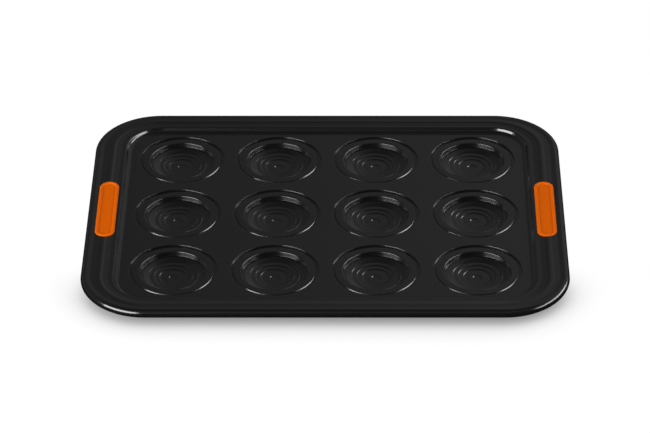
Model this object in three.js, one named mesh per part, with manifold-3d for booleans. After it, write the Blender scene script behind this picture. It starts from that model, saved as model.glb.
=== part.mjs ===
// Shallow bun tray: one pressed and coated steel sheet with stepped cups, a wire rolled into its edge,
// and a soft grip pushed through a slot in each short side.
// Millimetres, +Z up. The tray stands on its cup floors at Z = 0, with its middle on the Z axis.
// "Ends" are the short sides across X, and "sides" are the long sides across Y.

import * as THREE from 'three';
import { mergeGeometries, mergeVertices } from 'three/addons/utils/BufferGeometryUtils.js';
import Module from 'manifold-3d';

const wasm = await Module();
wasm.setup();

// Sheet
const SHEET = 0.9;

// Cup layout
const CUP_COLUMNS = 4;
const CUP_ROWS = 3;
const CUP_WEB = 10.1;
const DECK_MARGIN_ENDS = 9.15;
const DECK_MARGIN_SIDES = 7.15;

// Cup section, from its middle outwards
const DIMPLE_RADIUS = 3.9;
const DIMPLE_FLANK = 0.7;
const DIMPLE_DEPTH = 0.5;
const FLOOR_RADIUS = 11.5;
const STEP_COUNT = 3;
const RISER_RUN = 0.6;
const RISER_RISE = 0.55;
const STEP_RUN = 3.8;
const STEP_RISE = 0.15;
const SLOPE_RUN = 3.8;
const SLOPE_RISE = 1.7;
const RING_RUN = 2.1;
const RING_RISE = 0.1;
const CUP_WALL_RUN = 0.95;
const CUP_WALL_RISE = 2.8;
const CUP_EDGE_RUN = 0.8;
const CUP_EDGE_RISE = 0.55;
const LAND_WIDTH = 5.3;
const GROOVE_INNER_FLANK = 0.9;
const GROOVE_DROP = 0.9;
const GROOVE_FLOOR = 1.5;
const GROOVE_OUTER_FLANK = 0.35;
const GROOVE_RISE = 1.6;

// Rim section, from the deck outwards
const RIM_WALL_ENDS = 1.6;
const RIM_WALL_SIDES = 1.1;
const RIM_WALL_RISE = 2.35;
const SHOULDER_RUN = 2.2;
const SHOULDER_RISE = 1.25;
const TREAD_ENDS = 2.9;
const TREAD_SIDES = 1.85;
const LEDGE_ENDS = 4.5;
const LEDGE_SIDES = 3.3;
const LEDGE_RISE = 0.3;
const RIDGE_INNER_FLANK = 1.8;
const RIDGE_RISE = 0.55;
const RIDGE_CREST = 2.75;
const RIDGE_OUTER_FLANK = 1.4;
const RIDGE_DROP = 0.15;
const FLANGE_ENDS = 4.5;
const FLANGE_SIDES = 0.4;
const BEAD_RAMP_RUN = 3.21;
const BEAD_RAMP_RISE = 0.5;
const BEAD_RADIUS = 3.6;
const BEAD_PROUD = 0.1;
const OUTER_CORNER_RADIUS = 55;

// Wire in the rolled edge
const WIRE_CLEARANCE = 0.5;

// Grips
const GRIP_WIDTH = 16.4;
const GRIP_LENGTH = 82;
const GRIP_CORNER = 8.1;
const GRIP_END_FLAT = 0.1;
const GRIP_PROUD = 1.1;
const GRIP_HANG = 3.2;
const GRIP_OVERLAP = 2.0;
const GRIP_BORDER = 2.4;
const GRIP_PANEL_DEPTH = 0.5;
const GRIP_CURL_GAP = 0.6;
const GRIP_CLEARANCE = 0.3;

// Facets
const CUP_SEGMENTS = 16;
const CORNER_DIVISIONS = 3;
const BEAD_STEPS = 10;
const WIRE_SIDES = 8;
const WELD_DISTANCE = 1e-4;

// Colours
const COATED_STEEL = 0x242424;
const BARE_WIRE = 0x8c8c8c;
const ORANGE_SILICONE = 0xd06000;

const sum = (values) => values.reduce((total, value) => total + value, 0);

// Follows a list of [run, rise] moves from a starting point
function climb(start, moves) {
  const line = [start];
  for (const [run, rise] of moves) {
    const last = line.at(-1);
    line.push(new THREE.Vector2(last.x + run, last.y + rise));
  }
  return line;
}

// Shifts a line to its right-hand side. The sheet is level before it, and after it if levelAfter is set
function offsetLine(line, distance, levelAfter) {
  const level = new THREE.Vector2(1, 0);
  const directions = line.slice(1).map((point, i) => point.clone().sub(line[i]).normalize());
  const before = [level, ...directions];
  const after = [...directions, levelAfter ? level : directions.at(-1)];
  return line.map((point, i) => {
    const along = before[i].clone().add(after[i]).normalize();
    const reach = distance / along.dot(before[i]);
    return new THREE.Vector2(point.x + along.y * reach, point.y - along.x * reach);
  });
}

// Cup section lines, as radius and height
const steps = [];
for (let i = 0; i < STEP_COUNT; i++) {
  if (i > 0) steps.push([STEP_RUN, STEP_RISE]);
  steps.push([RISER_RUN, RISER_RISE]);
}
const slopeToDeck = [
  [SLOPE_RUN, SLOPE_RISE],
  [RING_RUN, RING_RISE],
  [CUP_WALL_RUN, CUP_WALL_RISE],
  [CUP_EDGE_RUN, CUP_EDGE_RISE],
  [LAND_WIDTH, 0],
  [GROOVE_INNER_FLANK, -GROOVE_DROP],
  [GROOVE_FLOOR, 0],
  [GROOVE_OUTER_FLANK, GROOVE_RISE],
];
const stepsInOne = [sum(steps.map(([run]) => run)), sum(steps.map(([, rise]) => rise))];
const floorEdge = new THREE.Vector2(FLOOR_RADIUS, SHEET);
const cupTopLine = climb(floorEdge, [...steps, ...slopeToDeck]);
const cupBackLine = offsetLine(climb(floorEdge, [stepsInOne, ...slopeToDeck]), SHEET, true);
const CUP_RADIUS = cupTopLine.at(-1).x;
const DECK_TOP = cupTopLine.at(-1).y;

// Cup places
const CUP_PITCH = 2 * CUP_RADIUS + CUP_WEB;
const lastCupX = (CUP_COLUMNS - 1) * CUP_PITCH / 2;
const lastCupY = (CUP_ROWS - 1) * CUP_PITCH / 2;
const cupCentres = [];
for (let row = 0; row < CUP_ROWS; row++) {
  for (let column = 0; column < CUP_COLUMNS; column++) {
    cupCentres.push(new THREE.Vector2(column * CUP_PITCH - lastCupX, row * CUP_PITCH - lastCupY));
  }
}

// Rim section lines, as distance from the middle and height
function rimLine(deckEdge, wall, tread, ledge, flange) {
  return climb(new THREE.Vector2(deckEdge, DECK_TOP), [
    [wall, RIM_WALL_RISE],
    [SHOULDER_RUN, SHOULDER_RISE],
    [tread, 0],
    [ledge, LEDGE_RISE],
    [RIDGE_INNER_FLANK, RIDGE_RISE],
    [RIDGE_CREST, 0],
    [RIDGE_OUTER_FLANK, -RIDGE_DROP],
    [flange, 0],
    [BEAD_RAMP_RUN, BEAD_RAMP_RISE],
  ]);
}
const endDeck = lastCupX + CUP_RADIUS + DECK_MARGIN_ENDS;
const sideDeck = lastCupY + CUP_RADIUS + DECK_MARGIN_SIDES;
const endLine = rimLine(endDeck, RIM_WALL_ENDS, TREAD_ENDS, LEDGE_ENDS, FLANGE_ENDS);
const sideLine = rimLine(sideDeck, RIM_WALL_SIDES, TREAD_SIDES, LEDGE_SIDES, FLANGE_SIDES);
const flangeEnd = endLine.at(-2);

// The bead goes from the ramp over the top, out, down and under, and ends level with its middle
const beadRise = BEAD_RADIUS - BEAD_PROUD;
const beadStart = Math.PI - Math.asin(beadRise / BEAD_RADIUS);
const beadReach = Math.sqrt(BEAD_RADIUS ** 2 - beadRise ** 2);
const beadCentre = (line) => new THREE.Vector2(line.at(-1).x + beadReach, line.at(-1).y - beadRise);

function withBead(line) {
  const centre = beadCentre(line);
  const bead = [];
  for (let i = 1; i <= BEAD_STEPS; i++) {
    const angle = THREE.MathUtils.lerp(beadStart, -Math.PI, i / BEAD_STEPS);
    const spoke = new THREE.Vector2(BEAD_RADIUS, 0).rotateAround(new THREE.Vector2(), angle);
    bead.push(spoke.add(centre));
  }
  return [...line, ...bead];
}
const HALF_LENGTH = beadCentre(endLine).x + BEAD_RADIUS;
const HALF_WIDTH = beadCentre(sideLine).x + BEAD_RADIUS;

function roundedRectangle(halfX, halfY, radius, middleX = 0) {
  const shape = new THREE.Shape();
  const x = halfX - radius;
  const y = halfY - radius;
  shape.absarc(middleX + x, y, radius, 0, Math.PI / 2);
  shape.absarc(middleX - x, y, radius, Math.PI / 2, Math.PI);
  shape.absarc(middleX - x, -y, radius, Math.PI, 1.5 * Math.PI);
  shape.absarc(middleX + x, -y, radius, 1.5 * Math.PI, 2 * Math.PI);
  return shape;
}

// One loop of the rim. Its corners stay parallel to the tray's outer corners
function rimLoop(halfX, halfY, z) {
  const inset = (HALF_LENGTH - halfX + HALF_WIDTH - halfY) / 2;
  const outline = roundedRectangle(halfX, halfY, OUTER_CORNER_RADIUS - inset);
  return outline.getPoints(CORNER_DIVISIONS).map((point) => new THREE.Vector3(point.x, point.y, z));
}

function rimLoops(ends, sides) {
  return ends.map((point, i) => rimLoop(point.x, sides[i].x, (point.y + sides[i].y) / 2));
}

// Skin through a row of loops that all have as many points
function loft(loops) {
  const count = loops[0].length;
  const geometry = new THREE.BufferGeometry().setFromPoints(loops.flat());
  const index = [];
  for (let j = 0; j + 1 < loops.length; j++) {
    for (let i = 0; i < count; i++) {
      const next = (i + 1) % count;
      const a = j * count + i;
      const b = (j + 1) * count + i;
      const c = (j + 1) * count + next;
      const d = j * count + next;
      index.push(a, b, c, a, c, d);
    }
  }
  return geometry.setIndex(index);
}

function flipped(geometry) {
  const index = geometry.index.array;
  for (let i = 0; i < index.length; i += 3) {
    [index[i], index[i + 1]] = [index[i + 1], index[i]];
  }
  return geometry;
}

// Welds a closed skin by its positions and makes a solid of it
function solid(geometry) {
  geometry.deleteAttribute('normal');
  geometry.deleteAttribute('uv');
  const welded = mergeVertices(geometry, WELD_DISTANCE);
  const corners = welded.index.array;
  const triangles = [];
  for (let i = 0; i < corners.length; i += 3) {
    const [a, b, c] = corners.slice(i, i + 3);
    if (a !== b && b !== c && c !== a) triangles.push(a, b, c);
  }
  return new wasm.Manifold(new wasm.Mesh({
    numProp: 3,
    vertProperties: new Float32Array(welded.attributes.position.array),
    triVerts: new Uint32Array(triangles),
  }));
}

function prism(shape, low, high) {
  const geometry = new THREE.ExtrudeGeometry(shape, {
    depth: high - low,
    bevelEnabled: false,
    curveSegments: CORNER_DIVISIONS,
  });
  return solid(geometry.translate(0, 0, low));
}

function meshOf(name, body, colour, roughness, metalness) {
  const { vertProperties, triVerts } = body.getMesh();
  const geometry = new THREE.BufferGeometry();
  geometry.setAttribute('position', new THREE.BufferAttribute(vertProperties, 3));
  geometry.setIndex(new THREE.BufferAttribute(triVerts, 1));
  geometry.computeVertexNormals();
  const material = new THREE.MeshStandardMaterial({ color: colour, roughness, metalness });
  const mesh = new THREE.Mesh(geometry, material);
  mesh.name = name;
  return mesh;
}

// A turned skin, stood upright at a cup's place
function turned(line, centre) {
  const geometry = new THREE.LatheGeometry(line, CUP_SEGMENTS);
  return geometry.rotateX(Math.PI / 2).translate(centre.x, centre.y, 0);
}

// The loop that one point of a turned line makes
function turnedLoop(geometry, line, pointIndex) {
  const positions = geometry.attributes.position;
  const loop = [];
  for (let i = 0; i < CUP_SEGMENTS; i++) {
    const vertex = i * line.length + pointIndex;
    loop.push(new THREE.Vector2(positions.getX(vertex), positions.getY(vertex)));
  }
  return loop;
}

// A level sheet face inside a rim loop, with a hole for each cup
function deckFace(loop, holes) {
  const shape = new THREE.Shape(loop.map((point) => new THREE.Vector2(point.x, point.y)));
  shape.holes = holes.map((hole) => new THREE.Path(hole));
  return new THREE.ShapeGeometry(shape).translate(0, 0, loop[0].z);
}

function pressedSheet() {
  const dimple = [
    new THREE.Vector2(DIMPLE_RADIUS, SHEET),
    new THREE.Vector2(DIMPLE_RADIUS - DIMPLE_FLANK, SHEET - DIMPLE_DEPTH),
    new THREE.Vector2(0, SHEET - DIMPLE_DEPTH),
  ];
  const topLine = [...cupTopLine.toReversed(), ...dimple];
  const backLine = [new THREE.Vector2(0, 0), ...cupBackLine];
  const tops = cupCentres.map((centre) => turned(topLine, centre));
  const backs = cupCentres.map((centre) => turned(backLine, centre));
  const topHoles = tops.map((top) => turnedLoop(top, topLine, 0));
  const backHoles = backs.map((back) => turnedLoop(back, backLine, backLine.length - 1));

  const outerEnds = withBead(endLine);
  const outerSides = withBead(sideLine);
  const innerEnds = offsetLine(outerEnds, SHEET, false);
  const innerSides = offsetLine(outerSides, SHEET, false);
  const topLoops = rimLoops(outerEnds, outerSides);
  const backLoops = rimLoops(innerEnds, innerSides);

  const skins = [
    loft([...topLoops, ...backLoops.toReversed()]),
    deckFace(topLoops[0], topHoles),
    flipped(deckFace(backLoops[0], backHoles)),
    ...tops,
    ...backs,
  ];
  for (const skin of skins) {
    skin.deleteAttribute('normal');
    skin.deleteAttribute('uv');
  }
  return solid(mergeGeometries(skins));
}

// Grip places and outlines
const gripMiddle = flangeEnd.x - GRIP_WIDTH / 2;
const gripTop = flangeEnd.y + GRIP_PROUD;
const gripBottom = flangeEnd.y - GRIP_HANG;
const curlInside = beadCentre(endLine).x - BEAD_RADIUS;
const lowerOverlap = curlInside - GRIP_CURL_GAP - gripMiddle - (GRIP_WIDTH / 2 - GRIP_OVERLAP);

// The grip's corners, which leave a short flat across each end however narrow the grip is
const gripCorner = Math.min(GRIP_CORNER, (GRIP_WIDTH - GRIP_END_FLAT) / 2);

// The grip's outline, drawn in by a margin all round
function gripOutline(side, margin) {
  const halfX = GRIP_WIDTH / 2 - margin;
  const halfY = GRIP_LENGTH / 2 - margin;
  return roundedRectangle(halfX, halfY, gripCorner - margin, side * gripMiddle);
}

function slot(side) {
  return prism(gripOutline(side, GRIP_OVERLAP), gripBottom, gripTop);
}

// A block as long as the grip that follows a rim line on one face and reaches a level on the other
function rimBlock(side, line, level) {
  const outline = [...line];
  outline.push(new THREE.Vector2(line.at(-1).x, level), new THREE.Vector2(line[0].x, level));
  const shape = new THREE.Shape(outline.map((point) => new THREE.Vector2(side * point.x, point.y)));
  const geometry = new THREE.ExtrudeGeometry(shape, { depth: GRIP_LENGTH, bevelEnabled: false });
  return solid(geometry.rotateX(Math.PI / 2).translate(0, GRIP_LENGTH / 2, 0));
}

function grip(side) {
  const overSheet = offsetLine(endLine, -GRIP_CLEARANCE, true);
  const underSheet = offsetLine(endLine, SHEET + GRIP_CLEARANCE, true);
  const upperPad = prism(gripOutline(side, 0), DECK_TOP, gripTop);
  const lowerPad = prism(gripOutline(side, GRIP_OVERLAP - lowerOverlap), gripBottom, flangeEnd.y);
  const waist = prism(gripOutline(side, GRIP_OVERLAP + GRIP_CLEARANCE), gripBottom, gripTop);
  const panel = prism(gripOutline(side, GRIP_BORDER), gripTop - GRIP_PANEL_DEPTH, gripTop + GRIP_PROUD);
  return upperPad
    .subtract(rimBlock(side, overSheet, 0))
    .add(lowerPad.subtract(rimBlock(side, underSheet, gripTop)))
    .add(waist)
    .subtract(panel);
}

function rimWire() {
  const radius = BEAD_RADIUS - SHEET - WIRE_CLEARANCE;
  const ends = beadCentre(endLine);
  const sides = beadCentre(sideLine);
  const loops = [];
  for (let i = 0; i <= WIRE_SIDES; i++) {
    const angle = -2 * Math.PI * (i % WIRE_SIDES) / WIRE_SIDES;
    const out = radius * Math.cos(angle);
    const up = radius * Math.sin(angle);
    loops.push(rimLoop(ends.x + out, sides.x + out, ends.y + up));
  }
  return solid(loft(loops));
}

const tray = new THREE.Group();
const sheet = pressedSheet().subtract(slot(-1)).subtract(slot(1));
tray.add(meshOf('pressed_tray', sheet, COATED_STEEL, 0.45, 0.3));
tray.add(meshOf('rim_wire', rimWire(), BARE_WIRE, 0.4, 1.0));
tray.add(meshOf('left_grip', grip(-1), ORANGE_SILICONE, 0.5, 0));
tray.add(meshOf('right_grip', grip(1), ORANGE_SILICONE, 0.5, 0));

export default tray;
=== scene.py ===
import math
from collections import namedtuple

import bmesh
import bpy
from bpy.props import FloatProperty, FloatVectorProperty, IntProperty, PointerProperty
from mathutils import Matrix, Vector


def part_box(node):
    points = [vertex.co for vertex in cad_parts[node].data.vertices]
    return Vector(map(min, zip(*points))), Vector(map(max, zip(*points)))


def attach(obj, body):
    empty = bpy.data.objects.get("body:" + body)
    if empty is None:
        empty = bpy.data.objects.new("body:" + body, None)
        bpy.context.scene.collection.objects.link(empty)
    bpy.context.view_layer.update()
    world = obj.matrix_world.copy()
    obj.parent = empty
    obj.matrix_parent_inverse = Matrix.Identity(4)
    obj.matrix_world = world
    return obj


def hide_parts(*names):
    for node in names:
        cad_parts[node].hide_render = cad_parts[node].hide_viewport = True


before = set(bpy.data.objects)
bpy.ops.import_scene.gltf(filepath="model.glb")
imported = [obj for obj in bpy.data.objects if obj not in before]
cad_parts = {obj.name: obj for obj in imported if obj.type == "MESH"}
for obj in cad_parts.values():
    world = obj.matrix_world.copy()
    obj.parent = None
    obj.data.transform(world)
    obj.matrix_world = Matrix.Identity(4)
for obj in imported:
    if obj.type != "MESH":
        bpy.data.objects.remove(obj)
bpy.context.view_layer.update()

bl_info = {
    "name": "Twelve-cup bun tray",
    "version": (1, 0, 0),
    "blender": (4, 5, 0),
    "location": "3D View > Sidebar > Bun tray",
    "description": "Builds a coated twelve-cup bun tray with two soft grips on a studio floor",
    "category": "Object",
}

TRAY_LOW, TRAY_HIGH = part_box("pressed_tray")
LEFT_GRIP_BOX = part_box("left_grip")
RIGHT_GRIP_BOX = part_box("right_grip")

Ring = namedtuple("Ring", "half_x half_y radius height")
Slot = namedtuple("Slot", "middle half_x half_y")
Softbox = namedtuple("Softbox", "name place width height")
Band = namedtuple("Band", "low high")

MM = 0.001

# Cup section, from the middle outwards
DIMPLE_RADIUS = 3.9 * MM
DIMPLE_FLANK = 0.5 * MM
DIMPLE_DEPTH = 0.6 * MM
DIMPLE_ROUND = 0.2 * MM
FLOOR_RADIUS = 10.3 * MM
STEP_COUNT = 3
RAMP_RUN = 1.3 * MM
RAMP_RISE = 0.3 * MM
RAMP_ROUND = 0.4 * MM
RISER_RUN = 0.35 * MM
RISER_RISE = 0.4 * MM
RISER_FOOT_ROUND = 0.32 * MM
RISER_TOP_ROUND = 0.18 * MM
STEP_RUN = 2.75 * MM
STEP_RISE = 0.1 * MM
SLOPE_RUN = 3.8 * MM
SLOPE_RISE = 1.05 * MM
SLOPE_ROUND = 0.5 * MM
RING_RUN = 2.1 * MM
RING_RISE = 0.1 * MM
WALL_FOOT_ROUND = 0.15 * MM
WALL_RUN = 1.0 * MM
WALL_RISE = 3.65 * MM
CUP_EDGE_ROUND = 0.5 * MM
LAND_WIDTH = 6.05 * MM
GROOVE_LIP_ROUND = 0.2 * MM
GROOVE_INNER_FLANK = 0.55 * MM
GROOVE_DROP = 0.7 * MM
GROOVE_FLOOR = 1.85 * MM
GROOVE_OUTER_FLANK = 0.35 * MM
GROOVE_RISE = 1.4 * MM
COLLAR_WIDTH = 1.0 * MM

# Rim section, from the deck outwards
DECK_BAND = 0.8 * MM
RIM_FOOT_ROUND = 2.2 * MM
RIM_WALL_ENDS = 2.65 * MM
RIM_WALL_SIDES = 1.93 * MM
RIM_WALL_RISE = 3.75 * MM
RIM_WALL_ROUND = 0.7 * MM
TREAD_ENDS = 4.05 * MM
TREAD_SIDES = 3.17 * MM
TREAD_ROUND = 0.2 * MM
LEDGE_ENDS = 4.5 * MM
LEDGE_SIDES = 3.3 * MM
LEDGE_RISE = 0.4 * MM
LEDGE_ROUND = 0.6 * MM
RIDGE_INNER_FLANK = 1.8 * MM
RIDGE_OUTER_FLANK = 1.4 * MM
RIDGE_RISE = 0.45 * MM
RIDGE_CREST = 2.3 * MM
RIDGE_DROP = 0.15 * MM
RIDGE_ROUND = 0.65 * MM
FLANGE_ROUND = 0.5 * MM
BEAD_PROUD = 0.45 * MM
BEAD_RAMP = 3.4 * MM
BEAD_RAMP_ROUND = 0.5 * MM
BEAD_START_ANGLE = math.radians(96.0)
BEAD_END_ANGLE = math.radians(-180.0)

# Grip section, from the middle of its panel outwards and down
PANEL_LINE_MARGIN = 4.6 * MM
PANEL_LINE_WIDTH = 0.5 * MM
PANEL_LINE_RISE = 0.06 * MM
PANEL_SLOPE = 0.5 * MM
BORDER_FOOT_ROUND = 0.3 * MM
BORDER_TOP_ROUND = 0.3 * MM
GRIP_EDGE_ROUND = 1.0 * MM
GRIP_SIDE_LEAST = 1.2 * MM
GRIP_SEAT = 0.1 * MM
GRIP_OVERLAP = 2.2 * MM
GRIP_FOOT_MARGIN = 1.0 * MM
SLOT_CLEARANCE = 0.25 * MM

# Facets and tolerances
CUP_STEPS = 52
CORNER_STEPS = 24
BEAD_STEPS = 26
WIRE_STEPS = 12
ROUND_STEP = 0.14 * MM
FEWEST_ROUND_STEPS = 2
MOST_ROUND_STEPS = 8
SHARP_ANGLE = math.radians(40.0)
MERGE_DISTANCE = 0.001 * MM
CUT_DISTANCE = 0.0001 * MM

# Finishes. Grain counts are per metre
BLACK = (0.0, 0.0, 0.0, 1.0)
WHITE = (1.0, 1.0, 1.0, 1.0)
TINT_BAND = Band(0.3, 0.7)
GRAIN_RELIEF = 0.02 * MM
COATING_GRAIN = 2600.0
COATING_CLOUDS = 9.0
SILICONE_GRAIN = 3200.0
SILICONE_CLOUDS = 60.0
# Heights below the grip's top over which the panel's painted shade gives way to the border's full colour
PANEL_SHADE_DEPTH = 0.6 * MM
BORDER_SHADE_DEPTH = 0.2 * MM
WIRE_MARKS = 900.0

# Floor. Shares are of its own colour, and the clear band is a stretch from front to back, behind which the
# camera sees the floor plain white with no shadow
FLOOR_GAP = 0.05 * MM
FLOOR_GRAIN = 400.0
FLOOR_CLEAR = Band(-0.125, -0.06)
FLOOR_SEEN_SHARE = 0.17
# Share of its colour that the floor shows in reflections: a painted dark reflection
FLOOR_MIRRORED_SHARE = 0.02
SHADE_REACH = 0.11
SHADE_SAMPLES = 32
SHADE_GLOW = 0.22
OPEN_GLOW = 0.4
OPEN_GLOW_GAIN = 0.27

# Lamps
LEFT_SOFTBOX = Softbox("left_softbox", (-1.24, -1.19, 0.65), 1.7, 1.0)
RIGHT_SOFTBOX = Softbox("right_softbox", (2.2, 0.1, 1.05), 3.2, 0.7)
FILL_SOFTBOX = Softbox("fill_softbox", (0.0, -0.2, 2.2), 1.6, 1.6)

# Surroundings. Each band is a range of one part of a direction, and each level a share of the sky
BACKDROP_LEVEL = 0.28
MIDDLE_RISE = Band(-0.15, 0.3)
MIDDLE_RISE_LEVEL = 0.72
MIDDLE_FALL = Band(0.12, 0.4)
MIDDLE_FALL_LEVEL = 0.28
LOW_RIGHT_SIDE = Band(0.1, 0.25)
LOW_RIGHT_TOP = Band(0.0, 0.35)
LOW_RIGHT_LEVEL = 0.4
FAR_RIGHT = Band(0.42, 0.62)
FAR_RIGHT_LEVEL = 0.3
FAR_LEFT = Band(0.2, 0.5)
FAR_LEFT_LEVEL = 0.1
OVERHEAD = Band(0.7, 0.95)
OVERHEAD_LOSS = 0.85
BACK_HALF = Band(-0.2, 0.2)
STRIP_FOOT = Band(0.62, 0.78)
STRIP_TOP = Band(0.86, 0.96)
STRIP_FRONT = Band(0.2, 0.45)
STRIP_LEVEL = 0.5
FRONT_HALF = Band(0.3, 0.6)
FRONT_LEVEL = 0.05
AROUND_LEVEL = 0.07
SKY_SHARE = 0.5

# Camera
CAMERA_PLACE = (0.02946, -2.33437, 1.57041)
CAMERA_DIP = math.radians(33.836)
CAMERA_LENS = 184.95
CAMERA_SENSOR = 36.0
CAMERA_SHIFT = -0.0558
CAMERA_REACH = 100.0


class TraySizes(bpy.types.PropertyGroup):
    """Sizes of the pressed tray and of the wire in its edge."""

    length: FloatProperty(
        name="Length", description="Outer length of the tray",
        default=TRAY_HIGH.x - TRAY_LOW.x, unit="LENGTH")
    width: FloatProperty(
        name="Width", description="Outer width of the tray",
        default=TRAY_HIGH.y - TRAY_LOW.y, unit="LENGTH")
    corner_radius: FloatProperty(
        name="Corner radius", description="Radius of the outer corners",
        default=55.0 * MM, unit="LENGTH")
    deck_height: FloatProperty(
        name="Deck height", description="Height of the deck above the table",
        default=8.7 * MM, unit="LENGTH")
    sheet: FloatProperty(
        name="Sheet", description="Thickness of the sheet",
        default=0.9 * MM, unit="LENGTH")
    cup_pitch: FloatProperty(
        name="Cup pitch", description="Distance between the middles of neighbouring cups",
        default=83.3 * MM, unit="LENGTH")
    cup_columns: IntProperty(
        name="Cup columns", description="Cups along the length", default=4, min=1)
    cup_rows: IntProperty(
        name="Cup rows", description="Cups across the width", default=3, min=1)
    deck_length: FloatProperty(
        name="Deck length", description="Length of the flat deck inside the rim",
        default=337.0 * MM, unit="LENGTH")
    deck_width: FloatProperty(
        name="Deck width", description="Width of the flat deck inside the rim",
        default=249.7 * MM, unit="LENGTH")
    bead_radius: FloatProperty(
        name="Bead radius", description="Outer radius of the rolled edge",
        default=3.85 * MM, unit="LENGTH")
    wire_radius: FloatProperty(
        name="Wire radius", description="Radius of the wire inside the rolled edge",
        default=2.0 * MM, unit="LENGTH")


class GripSizes(bpy.types.PropertyGroup):
    """Sizes of the two soft grips."""

    corner: FloatProperty(
        name="Corner radius", description="Corner radius of a grip",
        default=8.15 * MM, unit="LENGTH")
    border: FloatProperty(
        name="Border", description="Width of the raised border round the panel",
        default=2.4 * MM, unit="LENGTH")
    panel_depth: FloatProperty(
        name="Panel depth", description="Depth of the panel below the border",
        default=0.9 * MM, unit="LENGTH")


class Finishes(bpy.types.PropertyGroup):
    """Colours of the object and its stage."""

    coating: FloatVectorProperty(
        name="Coating", description="Colour of the non-stick coating", subtype="COLOR",
        size=4, min=0.0, max=1.0, default=(0.0042, 0.0042, 0.0045, 1.0))
    silicone: FloatVectorProperty(
        name="Silicone", description="Colour of the grips", subtype="COLOR",
        size=4, min=0.0, max=1.0, default=(0.75, 0.124, 0.0004, 1.0))
    steel: FloatVectorProperty(
        name="Steel", description="Colour of the wire", subtype="COLOR",
        size=4, min=0.0, max=1.0, default=(0.55, 0.55, 0.56, 1.0))
    floor: FloatVectorProperty(
        name="Floor", description="Colour of the floor", subtype="COLOR",
        size=4, min=0.0, max=1.0, default=(0.9, 0.9, 0.9, 1.0))


class Stage(bpy.types.PropertyGroup):
    """Lamps and floor."""

    floor_size: FloatProperty(
        name="Floor size", description="Length of the square floor", default=16.0, unit="LENGTH")
    left_power: FloatProperty(
        name="Left lamp", description="Power of the left softbox", default=43.0, unit="POWER")
    right_power: FloatProperty(
        name="Right lamp", description="Power of the right softbox", default=42.0, unit="POWER")
    fill_power: FloatProperty(
        name="Fill lamp", description="Power of the overhead fill, which leaves no highlights",
        default=10.0, unit="POWER")
    sky: FloatProperty(
        name="Sky", description="Brightness of the surroundings", default=0.48)


class Signal:
    """An output socket of a shader tree, with plain arithmetic."""

    def __init__(self, tree, socket=None):
        self.tree = tree
        self.socket = socket

    def add(self, kind, inputs=None, settings=None, output=0):
        """Adds a node, sets it, fills or links its inputs and gives one of its outputs."""
        node = self.tree.nodes.new(kind)
        for name, value in (settings or {}).items():
            setattr(node, name, value)
        for name, value in (inputs or {}).items():
            if isinstance(value, Signal):
                self.tree.links.new(value.socket, node.inputs[name])
            else:
                node.inputs[name].default_value = value
        return Signal(self.tree, node.outputs[output] if len(node.outputs) else None)

    def math(self, operation, first, second):
        """One step of arithmetic on values."""
        return self.add("ShaderNodeMath", {0: first, 1: second}, {"operation": operation})

    def __add__(self, other):
        return self.math("ADD", self, other)

    def __radd__(self, other):
        return self.math("ADD", other, self)

    def __sub__(self, other):
        return self.math("SUBTRACT", self, other)

    def __rsub__(self, other):
        return self.math("SUBTRACT", other, self)

    def __mul__(self, other):
        return self.math("MULTIPLY", self, other)

    def __rmul__(self, other):
        return self.math("MULTIPLY", other, self)

    def parts(self):
        """The X, Y and Z of a vector."""
        first = self.add("ShaderNodeSeparateXYZ", {"Vector": self})
        return [Signal(self.tree, socket) for socket in first.socket.node.outputs]

    def ramp(self, low, high):
        """0 below low, 1 above high and smooth between."""
        return self.add(
            "ShaderNodeMapRange",
            {"Value": self, "From Min": low, "From Max": high, "To Min": 0.0, "To Max": 1.0},
            {"interpolation_type": "SMOOTHSTEP"})

    def blend(self, first, second):
        """Mixes two colours, with this value as the share of the second."""
        return self.add("ShaderNodeMix", {0: self, 6: first, 7: second}, {"data_type": "RGBA"}, 2)


def new_material(name):
    """An empty material and the start of its shader tree."""
    material = bpy.data.materials.new(name)
    material.use_nodes = True
    material.node_tree.nodes.clear()
    return material, Signal(material.node_tree)


def shade(colour, factor):
    """The colour made lighter or darker."""
    red, green, blue = (min(part * factor, 1.0) for part in colour[:3])
    return (red, green, blue, 1.0)


def noise(tree, place, scale, detail=2.0):
    """Soft blotches from 0 to 1, as many to the metre as the scale says."""
    return tree.add("ShaderNodeTexNoise", {"Vector": place, "Scale": scale, "Detail": detail})


def bump(tree, height, strength):
    """A fine relief for a finish."""
    return tree.add("ShaderNodeBump", {"Height": height, "Strength": strength, "Distance": GRAIN_RELIEF})


def coating_material(colours):
    """Satin black coating: a fine sprayed grain and faint broad unevenness."""
    material, tree = new_material("satin_coating")
    place = tree.add("ShaderNodeTexCoord", output="Object")
    grain = noise(tree, place, COATING_GRAIN, 3.0)
    clouds = noise(tree, place, COATING_CLOUDS)
    tint = (clouds * 0.6 + grain * 0.4).ramp(*TINT_BAND)
    surface = tree.add(
        "ShaderNodeBsdfPrincipled",
        {
            "Base Color": tint.blend(shade(colours.coating, 0.9), shade(colours.coating, 1.1)),
            "Roughness": 0.155 + grain * 0.04 + clouds * 0.02,
            "Specular IOR Level": 1.0,
            "Normal": bump(tree, grain, 0.08),
        })
    tree.add("ShaderNodeOutputMaterial", {"Surface": surface})
    return material


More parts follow.
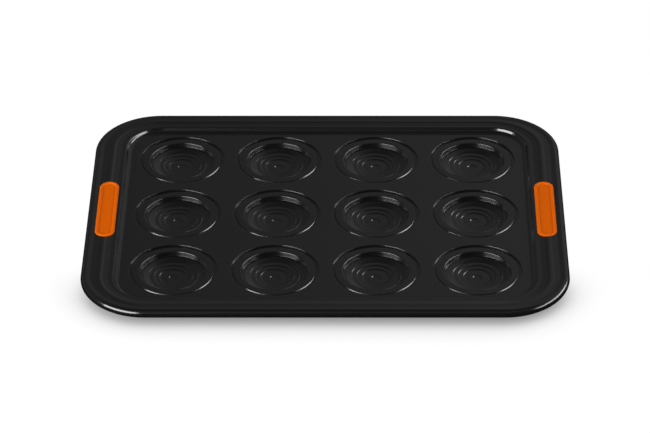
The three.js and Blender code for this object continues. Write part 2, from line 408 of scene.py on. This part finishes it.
def silicone_material(colours, top):
    """Soft orange silicone with a fine matt grain, and painted shade: the panel below the border is painted
    darker than the border.
    """
    material, tree = new_material("orange_silicone_finish")
    place = tree.add("ShaderNodeTexCoord", output="Object")
    # Painted shade: the sunken panel takes a darker copy of the silicone colour than the raised border, with
    # a little random tone mixed in
    lit_border = place.parts()[2].ramp(top - PANEL_SHADE_DEPTH, top - BORDER_SHADE_DEPTH)
    grain = noise(tree, place, SILICONE_GRAIN, 3.0)
    clouds = noise(tree, place, SILICONE_CLOUDS)
    tint = (clouds * 0.7 + grain * 0.3).ramp(*TINT_BAND)
    surface = tree.add(
        "ShaderNodeBsdfPrincipled",
        {
            "Base Color": (tint * 0.15 + lit_border * 0.85).blend(
                shade(colours.silicone, 0.9), shade(colours.silicone, 1.0)),
            "Roughness": 0.3 + grain * 0.1,
            "Specular IOR Level": 0.07,
            "Normal": bump(tree, grain, 0.2),
        })
    tree.add("ShaderNodeOutputMaterial", {"Surface": surface})
    return material


def steel_material(colours):
    """Bright drawn wire with fine draw marks."""
    material, tree = new_material("drawn_wire_finish")
    place = tree.add("ShaderNodeTexCoord", output="Object")
    marks = noise(tree, place, WIRE_MARKS, 4.0)
    tint = marks.ramp(*TINT_BAND)
    surface = tree.add(
        "ShaderNodeBsdfPrincipled",
        {
            "Base Color": tint.blend(shade(colours.steel, 0.85), shade(colours.steel, 1.1)),
            "Metallic": 1.0,
            "Roughness": 0.3 + marks * 0.15,
            "Normal": bump(tree, marks, 0.15),
        })
    tree.add("ShaderNodeOutputMaterial", {"Surface": surface})
    return material


def floor_material(colours):
    """Pale matt floor that glows white to the camera, save for the shade near the tray, which is partly real
    lamp shadow on a dimmed floor colour and partly painted shadow from ambient occlusion, and that is
    painted dark where it is seen in reflections.
    """
    material, tree = new_material("studio_floor")
    place = tree.add("ShaderNodeTexCoord", output="Object")
    grain = noise(tree, place, FLOOR_GRAIN)
    clear = place.parts()[1].ramp(*FLOOR_CLEAR)
    # Painted shadow: ambient occlusion near the tray dims the glow that the camera sees
    openness = tree.add(
        "ShaderNodeAmbientOcclusion", {"Distance": SHADE_REACH}, {"samples": SHADE_SAMPLES}, "AO")
    seen = tree.add("ShaderNodeLightPath", output="Is Camera Ray")
    mirrored = tree.add("ShaderNodeLightPath", output="Is Glossy Ray")
    pale = grain.blend(shade(colours.floor, 0.99), shade(colours.floor, 1.01))
    near_base = seen.blend(pale, shade(colours.floor, FLOOR_SEEN_SHARE))
    base = (seen * clear).blend(near_base, BLACK)
    near_glow = SHADE_GLOW + openness * (OPEN_GLOW + OPEN_GLOW_GAIN * openness)
    glow = near_glow + clear * (1.0 - near_glow)
    surface = tree.add(
        "ShaderNodeBsdfPrincipled",
        {
            # Painted dark reflection: in reflections the floor takes only a small share of its colour
            "Base Color": mirrored.blend(base, shade(colours.floor, FLOOR_MIRRORED_SHARE)),
            "Roughness": 1.0,
            "Specular IOR Level": 0.0,
            "Emission Color": (seen * glow).blend(BLACK, WHITE),
            "Emission Strength": 1.0,
        })
    tree.add("ShaderNodeOutputMaterial", {"Surface": surface})
    return material


def round_steps(rounding):
    """Facets of a rounding, more for a longer one."""
    return max(FEWEST_ROUND_STEPS, min(MOST_ROUND_STEPS, round(rounding / ROUND_STEP)))


def rounded_section(corners):
    """Points of a section line. Each corner is a distance, a height and the length of its rounding."""
    bm = bmesh.new()
    verts = [bm.verts.new((distance, 0.0, height)) for distance, height, _ in corners]
    for first, second in zip(verts, verts[1:]):
        bm.edges.new((first, second))
    for vert, (_, _, rounding) in zip(verts, corners):
        if rounding > 0.0:
            bmesh.ops.bevel(
                bm, geom=[vert], offset=rounding, offset_type="OFFSET", affect="VERTICES",
                segments=round_steps(rounding), profile=0.5, material=-1)
    vert = verts[0]
    edge = None
    points = [(vert.co.x, vert.co.z)]
    while True:
        onward = [link for link in vert.link_edges if link is not edge]
        if not onward:
            break
        edge = onward[0]
        vert = edge.other_vert(vert)
        points.append((vert.co.x, vert.co.z))
    bm.free()
    return points


def climb(start, moves):
    """Section corners from a start point and moves of run, rise and rounding."""
    corners = [(start[0], start[1], 0.0)]
    for run, rise, rounding in moves:
        distance, height, _ = corners[-1]
        corners.append((distance + run, height + rise, rounding))
    return corners


def cup_section(sizes):
    """Section of one cup, from its middle to the flat collar round its groove."""
    moves = [
        (DIMPLE_RADIUS - DIMPLE_FLANK, 0.0, DIMPLE_ROUND),
        (DIMPLE_FLANK, DIMPLE_DEPTH, DIMPLE_ROUND),
        (FLOOR_RADIUS - DIMPLE_RADIUS, 0.0, RAMP_ROUND),
    ]
    for step in range(STEP_COUNT):
        moves.append((RAMP_RUN, RAMP_RISE, RISER_FOOT_ROUND))
        moves.append((RISER_RUN, RISER_RISE, RISER_TOP_ROUND))
        if step < STEP_COUNT - 1:
            moves.append((STEP_RUN, STEP_RISE, RAMP_ROUND))
    moves += [
        (SLOPE_RUN, SLOPE_RISE, SLOPE_ROUND),
        (RING_RUN, RING_RISE, WALL_FOOT_ROUND),
        (WALL_RUN, WALL_RISE, CUP_EDGE_ROUND),
        (LAND_WIDTH, 0.0, GROOVE_LIP_ROUND),
        (GROOVE_INNER_FLANK, -GROOVE_DROP, 0.0),
        (GROOVE_FLOOR, 0.0, 0.0),
        (GROOVE_OUTER_FLANK, GROOVE_RISE, GROOVE_LIP_ROUND),
        (COLLAR_WIDTH, 0.0, 0.0),
    ]
    depth = sum(rise for _, rise, _ in moves)
    return rounded_section(climb((0.0, sizes.deck_height - depth), moves))


def cup_mesh(sizes):
    """One cup, turned from its section."""
    bm = bmesh.new()
    verts = [bm.verts.new((distance, 0.0, height)) for distance, height in cup_section(sizes)]
    edges = [bm.edges.new(pair) for pair in zip(verts, verts[1:])]
    bmesh.ops.spin(
        bm, geom=verts + edges, cent=(0.0, 0.0, 0.0), axis=(0.0, 0.0, 1.0), dvec=(0.0, 0.0, 0.0),
        angle=math.tau, steps=CUP_STEPS, use_merge=True)
    bmesh.ops.remove_doubles(bm, verts=bm.verts[:], dist=MERGE_DISTANCE)
    mesh = bpy.data.meshes.new("cup")
    bm.to_mesh(mesh)
    bm.free()
    return mesh


def flange_height(sizes):
    """Height of the level flange inside the rolled edge."""
    return sizes.deck_height + RIM_WALL_RISE + LEDGE_RISE + RIDGE_RISE - RIDGE_DROP


def bead_middle(sizes):
    """Height of the middle of the rolled edge."""
    return flange_height(sizes) + BEAD_PROUD - sizes.bead_radius


def bead_corners(sizes):
    """Corners of the rolled edge: the foot of its ramp, then an arc over the top and back underneath."""
    bead = sizes.bead_radius
    ramp_foot = bead - bead * math.cos(BEAD_START_ANGLE) + BEAD_RAMP
    corners = [(ramp_foot, flange_height(sizes), BEAD_RAMP_ROUND)]
    for step in range(BEAD_STEPS + 1):
        angle = BEAD_START_ANGLE + (BEAD_END_ANGLE - BEAD_START_ANGLE) * step / BEAD_STEPS
        corners.append((bead - bead * math.cos(angle), bead_middle(sizes) + bead * math.sin(angle), 0.0))
    return corners


def rim_sections(sizes):
    """Rim sections across a short side and a long side, as insets from the outer edge and heights."""
    sections = []
    for outer, deck, wall, tread, ledge in (
            (sizes.length, sizes.deck_length, RIM_WALL_ENDS, TREAD_ENDS, LEDGE_ENDS),
            (sizes.width, sizes.deck_width, RIM_WALL_SIDES, TREAD_SIDES, LEDGE_SIDES)):
        start = (outer - deck) / 2 + DECK_BAND
        moves = [
            (-DECK_BAND - RIM_FOOT_ROUND, 0.0, RIM_FOOT_ROUND),
            (-wall, RIM_WALL_RISE, RIM_WALL_ROUND),
            (-tread, 0.0, TREAD_ROUND),
            (-ledge, LEDGE_RISE, LEDGE_ROUND),
            (-RIDGE_INNER_FLANK, RIDGE_RISE, RIDGE_ROUND),
            (-RIDGE_CREST, 0.0, RIDGE_ROUND),
            (-RIDGE_OUTER_FLANK, -RIDGE_DROP, FLANGE_ROUND),
        ]
        corners = climb((start, sizes.deck_height), moves) + bead_corners(sizes)
        sections.append(rounded_section(corners))
    return sections


def rim_rings(sizes):
    """Rounded oblongs of the rim, from the deck to the end of the rolled edge."""
    rings = []
    for (end_inset, height), (side_inset, _) in zip(*rim_sections(sizes)):
        radius = sizes.corner_radius - (end_inset + side_inset) / 2
        rings.append(Ring(sizes.length / 2 - end_inset, sizes.width / 2 - side_inset, radius, height))
    return rings


def oblong_face(bm, ring, middle=(0.0, 0.0)):
    """Starts an empty bmesh with one flat face that has the outline of a ring."""
    corners = bmesh.ops.create_grid(bm, x_segments=1, y_segments=1, size=1.0)["verts"]
    bmesh.ops.scale(bm, vec=(ring.half_x, ring.half_y, 1.0), verts=corners)
    bmesh.ops.bevel(
        bm, geom=corners, offset=ring.radius, offset_type="OFFSET", affect="VERTICES",
        segments=CORNER_STEPS, profile=0.5, material=-1)
    bmesh.ops.translate(bm, vec=(middle[0], middle[1], ring.height), verts=bm.verts[:])
    return next(iter(bm.faces))


def oblong_loop(bm, ring):
    """Starts an empty bmesh with the outline of a ring alone; gives back its edges."""
    face = oblong_face(bm, ring)
    edges = list(face.edges)
    bmesh.ops.delete(bm, geom=[face], context="FACES_ONLY")
    return edges


def clamp(value, limit):
    """The value, kept within the limit on both sides of zero."""
    return max(-limit, min(limit, value))


def grow_rings(bm, edges, rings, middle=(0.0, 0.0)):
    """Extrudes a rounded loop of edges from ring to ring; gives back the new vertices and the last edges."""
    loops = []
    for before, after in zip(rings, rings[1:]):
        grown = bmesh.ops.extrude_edge_only(bm, edges=edges)["geom"]
        verts = {item for item in grown if isinstance(item, bmesh.types.BMVert)}
        edges = [
            item for item in grown
            if isinstance(item, bmesh.types.BMEdge) and all(vert in verts for vert in item.verts)]
        core_x = before.half_x - before.radius
        core_y = before.half_y - before.radius
        for vert in verts:
            x = vert.co.x - middle[0]
            y = vert.co.y - middle[1]
            core_point_x = clamp(x, core_x)
            core_point_y = clamp(y, core_y)
            out_x = (x - core_point_x) / before.radius
            out_y = (y - core_point_y) / before.radius
            vert.co = Vector((
                middle[0] + core_point_x * (after.half_x - after.radius) / core_x + out_x * after.radius,
                middle[1] + core_point_y * (after.half_y - after.radius) / core_y + out_y * after.radius,
                after.height))
        loops.append(verts)
    return loops, edges


def cut(bm, place, direction):
    """Cuts all faces at a plane, so that edges follow it."""
    everything = bm.verts[:] + bm.edges[:] + bm.faces[:]
    bmesh.ops.bisect_plane(bm, geom=everything, dist=CUT_DISTANCE, plane_co=place, plane_no=direction)


def rim_mesh(bm, sizes, slot):
    """The rim with its rolled edge and a slot for each grip."""
    rings = rim_rings(sizes)
    grow_rings(bm, oblong_loop(bm, rings[0]), rings)
    for side in (-1.0, 1.0):
        cut(bm, (0.0, side * slot.half_y, 0.0), (0.0, 1.0, 0.0))
        for across in (-slot.half_x, slot.half_x):
            cut(bm, (side * (slot.middle + across), 0.0, 0.0), (1.0, 0.0, 0.0))
    inside = [
        item for item in bm.faces
        if abs(item.calc_center_median().y) < slot.half_y
        and abs(abs(item.calc_center_median().x) - slot.middle) < slot.half_x]
    bmesh.ops.delete(bm, geom=inside, context="FACES")


def deck_fill(bm, sizes):
    """The flat deck between the cups and the rim."""
    edges = [
        edge for edge in bm.edges
        if len(edge.link_faces) == 1
        and all(abs(vert.co.z - sizes.deck_height) < MERGE_DISTANCE for vert in edge.verts)]
    bmesh.ops.triangle_fill(bm, edges=edges, use_beauty=True, use_dissolve=False, normal=(0.0, 0.0, 1.0))


def face_up(bm, height):
    """Turns all faces of an open sheet so that the flat parts at a height face up."""
    bmesh.ops.recalc_face_normals(bm, faces=bm.faces[:])
    level = [face for face in bm.faces if abs(face.calc_center_median().z - height) < MM]
    largest = max(level, key=lambda face: face.calc_area())
    if largest.normal.z < 0.0:
        bmesh.ops.reverse_faces(bm, faces=bm.faces[:])


def face_outwards(bm):
    """Turns all faces of a closed shell outwards."""
    bmesh.ops.recalc_face_normals(bm, faces=bm.faces[:])
    if bm.calc_volume(signed=True) < 0.0:
        bmesh.ops.reverse_faces(bm, faces=bm.faces[:])


def finish_piece(name, bm, material, node):
    """Makes the object, rounds its shading and places it in the frame."""
    mesh = bpy.data.meshes.new(name)
    bm.to_mesh(mesh)
    bm.free()
    mesh.polygons.foreach_set("use_smooth", [True] * len(mesh.polygons))
    mesh.set_sharp_from_angle(angle=SHARP_ANGLE)
    mesh.materials.append(material)
    piece = bpy.data.objects.new(name, mesh)
    flats = piece.modifiers.new("flats", "WEIGHTED_NORMAL")
    flats.keep_sharp = True
    bpy.context.scene.collection.objects.link(piece)
    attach(piece, "root")
    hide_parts(node)


def grip_slot():
    """The slot that a grip's waist passes through."""
    low, high = RIGHT_GRIP_BOX
    shrink = GRIP_OVERLAP - SLOT_CLEARANCE
    return Slot((low.x + high.x) / 2, (high.x - low.x) / 2 - shrink, (high.y - low.y) / 2 - shrink)


def add_cups(bm, sizes):
    """A cup at each place of the grid."""
    cup = cup_mesh(sizes)
    for column in range(sizes.cup_columns):
        for row in range(sizes.cup_rows):
            x = (column - (sizes.cup_columns - 1) / 2) * sizes.cup_pitch
            y = (row - (sizes.cup_rows - 1) / 2) * sizes.cup_pitch
            before = len(bm.verts)
            bm.from_mesh(cup)
            bmesh.ops.translate(bm, vec=(x, y, 0.0), verts=bm.verts[before:])
    bpy.data.meshes.remove(cup)


def build_tray(sizes, colours):
    """The pressed sheet: cups, deck, rim and rolled edge, thickened downwards and flat on the table."""
    bm = bmesh.new()
    rim_mesh(bm, sizes, grip_slot())
    add_cups(bm, sizes)
    deck_fill(bm, sizes)
    face_up(bm, sizes.deck_height)
    bmesh.ops.solidify(bm, geom=bm.faces[:], thickness=sizes.sheet)
    for vert in bm.verts:
        vert.co.z = max(vert.co.z, 0.0)
    finish_piece("coated_tray", bm, coating_material(colours), "pressed_tray")


def build_wire(sizes, colours):
    """The wire inside the rolled edge."""
    rings = []
    for step in range(WIRE_STEPS + 1):
        angle = math.tau * step / WIRE_STEPS
        out = sizes.wire_radius * math.cos(angle) - sizes.bead_radius
        height = bead_middle(sizes) + sizes.wire_radius * math.sin(angle)
        rings.append(Ring(
            sizes.length / 2 + out, sizes.width / 2 + out, sizes.corner_radius + out, height))
    bm = bmesh.new()
    grow_rings(bm, oblong_loop(bm, rings[0]), rings)
    bmesh.ops.remove_doubles(bm, verts=bm.verts[:], dist=MERGE_DISTANCE)
    face_outwards(bm)
    finish_piece("wire_in_rim", bm, steel_material(colours), "rim_wire")


def sheet_top(section, inset):
    """Height of the sheet's top face at an inset from the short side."""
    for (far, far_height), (near, near_height) in zip(section, section[1:]):
        if near <= inset <= far:
            return far_height + (near_height - far_height) * (far - inset) / (far - near)
    raise ValueError("no sheet at that inset")


def grip_section(sizes, top):
    """Margins from the grip's outline and heights, from the panel to the foot of the side."""
    panel = top - sizes.panel_depth
    corners = [
        (PANEL_LINE_MARGIN + PANEL_LINE_WIDTH, panel, 0.0),
        (PANEL_LINE_MARGIN + PANEL_LINE_WIDTH / 2, panel + PANEL_LINE_RISE, 0.0),
        (PANEL_LINE_MARGIN, panel, 0.0),
        (sizes.border + PANEL_SLOPE, panel, BORDER_FOOT_ROUND),
        (sizes.border, top, BORDER_TOP_ROUND),
        (0.0, top, GRIP_EDGE_ROUND),
        (0.0, top - GRIP_SIDE_LEAST, 0.0),
    ]
    return rounded_section(corners)


def build_grip(name, node, box, tray, sizes, colours):
    """One grip: bordered pad on the sheet, waist through the slot and lower pad."""
    low, high = box
    middle = ((low.x + high.x) / 2, (low.y + high.y) / 2)
    half_x = (high.x - low.x) / 2
    half_y = (high.y - low.y) / 2
    section = rim_sections(tray)[0]

    def ring(margin, height):
        return Ring(half_x - margin, half_y - margin, sizes.corner - margin, height)

    rings = [ring(margin, height) for margin, height in grip_section(sizes, high.z)]
    waist_and_foot = [
        ring(GRIP_OVERLAP, high.z),
        ring(GRIP_OVERLAP, high.z),
        ring(GRIP_FOOT_MARGIN, high.z),
        ring(GRIP_FOOT_MARGIN, low.z),
    ]
    bm = bmesh.new()
    panel = oblong_face(bm, rings[0], middle)
    loops, edges = grow_rings(bm, list(panel.edges), rings + waist_and_foot, middle)

    # The foot of the side, both ends of the waist and the top of the lower pad follow the sheet
    seated = loops[-len(waist_and_foot) - 1:-1]
    above_sheet = GRIP_SEAT
    below_sheet = -tray.sheet - GRIP_SEAT
    for loop, seat in zip(seated, (above_sheet, above_sheet, below_sheet, below_sheet)):
        for vert in loop:
            vert.co.z = sheet_top(section, tray.length / 2 - abs(vert.co.x)) + seat
    bmesh.ops.contextual_create(bm, geom=edges)
    face_outwards(bm)
    finish_piece(name, bm, silicone_material(colours, high.z), node)


def build_floor(stage, colours):
    """A level floor just below the tray."""
    bm = bmesh.new()
    bmesh.ops.create_grid(bm, x_segments=1, y_segments=1, size=stage.floor_size / 2)
    bmesh.ops.translate(bm, vec=(0.0, 0.0, -FLOOR_GAP), verts=bm.verts[:])
    mesh = bpy.data.meshes.new("floor")
    bm.to_mesh(mesh)
    bm.free()
    mesh.materials.append(floor_material(colours))
    floor = bpy.data.objects.new("floor", mesh)
    bpy.context.scene.collection.objects.link(floor)


def build_lamp(softbox, power):
    """A rectangular softbox aimed at the tray."""
    lamp = bpy.data.lights.new(softbox.name, "AREA")
    lamp.shape = "RECTANGLE"
    lamp.size = softbox.width
    lamp.size_y = softbox.height
    lamp.energy = power
    holder = bpy.data.objects.new(softbox.name, lamp)
    holder.location = softbox.place
    holder.rotation_euler = Vector(softbox.place).to_track_quat("Z", "Y").to_euler()
    bpy.context.scene.collection.objects.link(holder)
    return holder


def build_world(stage):
    """Dim surroundings: a backdrop that darkens overhead and low on the right, and a strip high in front."""
    world = bpy.data.worlds.new("studio")
    world.use_nodes = True
    world.node_tree.nodes.clear()
    tree = Signal(world.node_tree)
    right, back, up = tree.add("ShaderNodeTexCoord", output="Object").parts()
    left = 0.0 - right
    front = 0.0 - back
    low_right = right.ramp(*LOW_RIGHT_SIDE) * (1.0 - up.ramp(*LOW_RIGHT_TOP))
    sweep = (
        BACKDROP_LEVEL
        + MIDDLE_RISE_LEVEL * right.ramp(*MIDDLE_RISE)
        - MIDDLE_FALL_LEVEL * right.ramp(*MIDDLE_FALL)
        - LOW_RIGHT_LEVEL * low_right
        + FAR_RIGHT_LEVEL * right.ramp(*FAR_RIGHT)
        + FAR_LEFT_LEVEL * left.ramp(*FAR_LEFT))
    backdrop = sweep * (1.0 - OVERHEAD_LOSS * up.ramp(*OVERHEAD)) * back.ramp(*BACK_HALF)
    strip = up.ramp(*STRIP_FOOT) * (1.0 - up.ramp(*STRIP_TOP)) * front.ramp(*STRIP_FRONT)
    level = backdrop + STRIP_LEVEL * strip + FRONT_LEVEL * front.ramp(*FRONT_HALF) + AROUND_LEVEL
    light = (level * SKY_SHARE).blend(BLACK, (stage.sky, stage.sky, stage.sky, 1.0))
    surface = tree.add("ShaderNodeBackground", {"Color": light, "Strength": 1.0})
    tree.add("ShaderNodeOutputWorld", {"Surface": surface})
    bpy.context.scene.world = world


def build_camera():
    """The camera, level across and dipped towards the tray."""
    camera = bpy.data.cameras.new("camera")
    camera.lens = CAMERA_LENS
    camera.sensor_fit = "HORIZONTAL"
    camera.sensor_width = CAMERA_SENSOR
    camera.shift_x = CAMERA_SHIFT
    camera.clip_end = CAMERA_REACH
    holder = bpy.data.objects.new("camera", camera)
    holder.location = CAMERA_PLACE
    holder.rotation_euler = (math.pi / 2 - CAMERA_DIP, 0.0, 0.0)
    bpy.context.scene.collection.objects.link(holder)
    bpy.context.scene.camera = holder


class BUN_TRAY_OT_tray(bpy.types.Operator):
    """Build the pressed tray"""

    bl_idname = "bun_tray.tray"
    bl_label = "Pressed tray"

    def execute(self, context):
        build_tray(context.scene.bun_tray_sizes, context.scene.bun_tray_finishes)
        return {"FINISHED"}


class BUN_TRAY_OT_wire(bpy.types.Operator):
    """Build the wire inside the rolled edge"""

    bl_idname = "bun_tray.wire"
    bl_label = "Rim wire"

    def execute(self, context):
        build_wire(context.scene.bun_tray_sizes, context.scene.bun_tray_finishes)
        return {"FINISHED"}


class BUN_TRAY_OT_grips(bpy.types.Operator):
    """Build the two soft grips"""

    bl_idname = "bun_tray.grips"
    bl_label = "Grips"

    def execute(self, context):
        scene = context.scene
        for name, node, box in (
                ("soft_grip_left", "left_grip", LEFT_GRIP_BOX),
                ("soft_grip_right", "right_grip", RIGHT_GRIP_BOX)):
            build_grip(
                name, node, box, scene.bun_tray_sizes, scene.bun_tray_grips, scene.bun_tray_finishes)
        return {"FINISHED"}


class BUN_TRAY_OT_stage(bpy.types.Operator):
    """Build the floor, lamps, surroundings and camera"""

    bl_idname = "bun_tray.stage"
    bl_label = "Stage"

    def execute(self, context):
        stage = context.scene.bun_tray_stage
        build_floor(stage, context.scene.bun_tray_finishes)
        build_lamp(LEFT_SOFTBOX, stage.left_power)
        build_lamp(RIGHT_SOFTBOX, stage.right_power)
        fill = build_lamp(FILL_SOFTBOX, stage.fill_power)
        fill.visible_glossy = False
        build_world(stage)
        build_camera()
        context.scene.view_settings.view_transform = "Standard"
        return {"FINISHED"}


class BUN_TRAY_PT_panel(bpy.types.Panel):
    """Sizes, colours and buttons of the bun tray"""

    bl_idname = "BUN_TRAY_PT_panel"
    bl_label = "Bun tray"
    bl_space_type = "VIEW_3D"
    bl_region_type = "UI"
    bl_category = "Bun tray"

    def draw(self, context):
        for group in ("bun_tray_sizes", "bun_tray_grips", "bun_tray_finishes", "bun_tray_stage"):
            values = getattr(context.scene, group)
            for name in values.__annotations__:
                self.layout.prop(values, name)
        for operator in (BUN_TRAY_OT_tray, BUN_TRAY_OT_wire, BUN_TRAY_OT_grips, BUN_TRAY_OT_stage):
            self.layout.operator(operator.bl_idname)


CLASSES = (
    TraySizes,
    GripSizes,
    Finishes,
    Stage,
    BUN_TRAY_OT_tray,
    BUN_TRAY_OT_wire,
    BUN_TRAY_OT_grips,
    BUN_TRAY_OT_stage,
    BUN_TRAY_PT_panel,
)


def register():
    """Registers the classes and hangs the sizes, colours and stage on the scene."""
    for item in CLASSES:
        bpy.utils.register_class(item)
    bpy.types.Scene.bun_tray_sizes = PointerProperty(type=TraySizes)
    bpy.types.Scene.bun_tray_grips = PointerProperty(type=GripSizes)
    bpy.types.Scene.bun_tray_finishes = PointerProperty(type=Finishes)
    bpy.types.Scene.bun_tray_stage = PointerProperty(type=Stage)


def unregister():
    """Takes back what register adds."""
    del bpy.types.Scene.bun_tray_stage
    del bpy.types.Scene.bun_tray_finishes
    del bpy.types.Scene.bun_tray_grips
    del bpy.types.Scene.bun_tray_sizes
    for item in reversed(CLASSES):
        bpy.utils.unregister_class(item)


def main():
    register()
    bpy.ops.bun_tray.tray()
    bpy.ops.bun_tray.wire()
    bpy.ops.bun_tray.grips()
    bpy.ops.bun_tray.stage()


if __name__ == "__main__":
    main()
